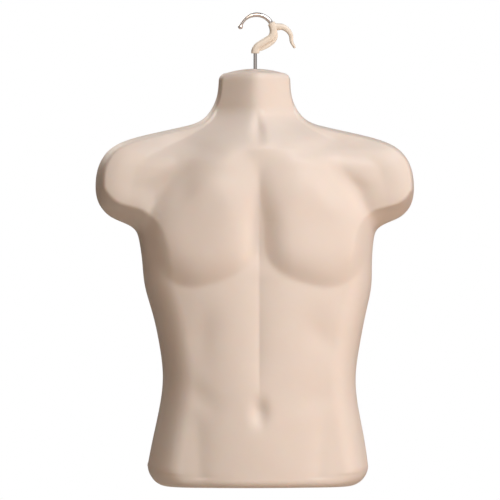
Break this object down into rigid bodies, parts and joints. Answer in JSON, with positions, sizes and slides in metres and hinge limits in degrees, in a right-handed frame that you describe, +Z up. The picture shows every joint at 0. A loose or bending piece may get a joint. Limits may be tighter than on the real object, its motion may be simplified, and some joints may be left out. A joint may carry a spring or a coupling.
{
  "type": "hanging torso display form",
  "caption": "Hollow moulded male torso form for displaying shirts, open at the back, hanging from a swivel hook with a plastic sleeve and a side link arm.",
  "frame": {"origin": "underside of the hook bow, straight above the stem, where a rail carries the hook", "axes": "+Z up along the stem, +Y towards the open back, +X towards the side that the link arm is on"},
  "size_m": [0.4473, 0.1796, 0.6635],
  "materials": {
    "flesh_plastic": "satin moulded polyethylene, flesh tone",
    "chrome_plate": "bright chrome plating",
    "cream_plastic": "semi-gloss moulded plastic, cream",
    "zinc_plate": "bright zinc plating",
    "nylon": "natural nylon"
  },
  "bodies": {
    "hook": {"hook_rod": "chrome_plate", "tip_ball": "chrome_plate", "link_sleeve": "cream_plastic", "cap_washer": "zinc_plate", "lock_nut": "zinc_plate", "nut_insert": "nylon"},
    "torso": {"torso_shell": "flesh_plastic"}
  },
  "joints": [
    {"name": "hook_swivel", "type": "hinge", "parent": "hook", "child": "torso", "pos_m": [0, 0, -0.07204], "axis": [0, 0, 1], "continuous": true}
  ]
}
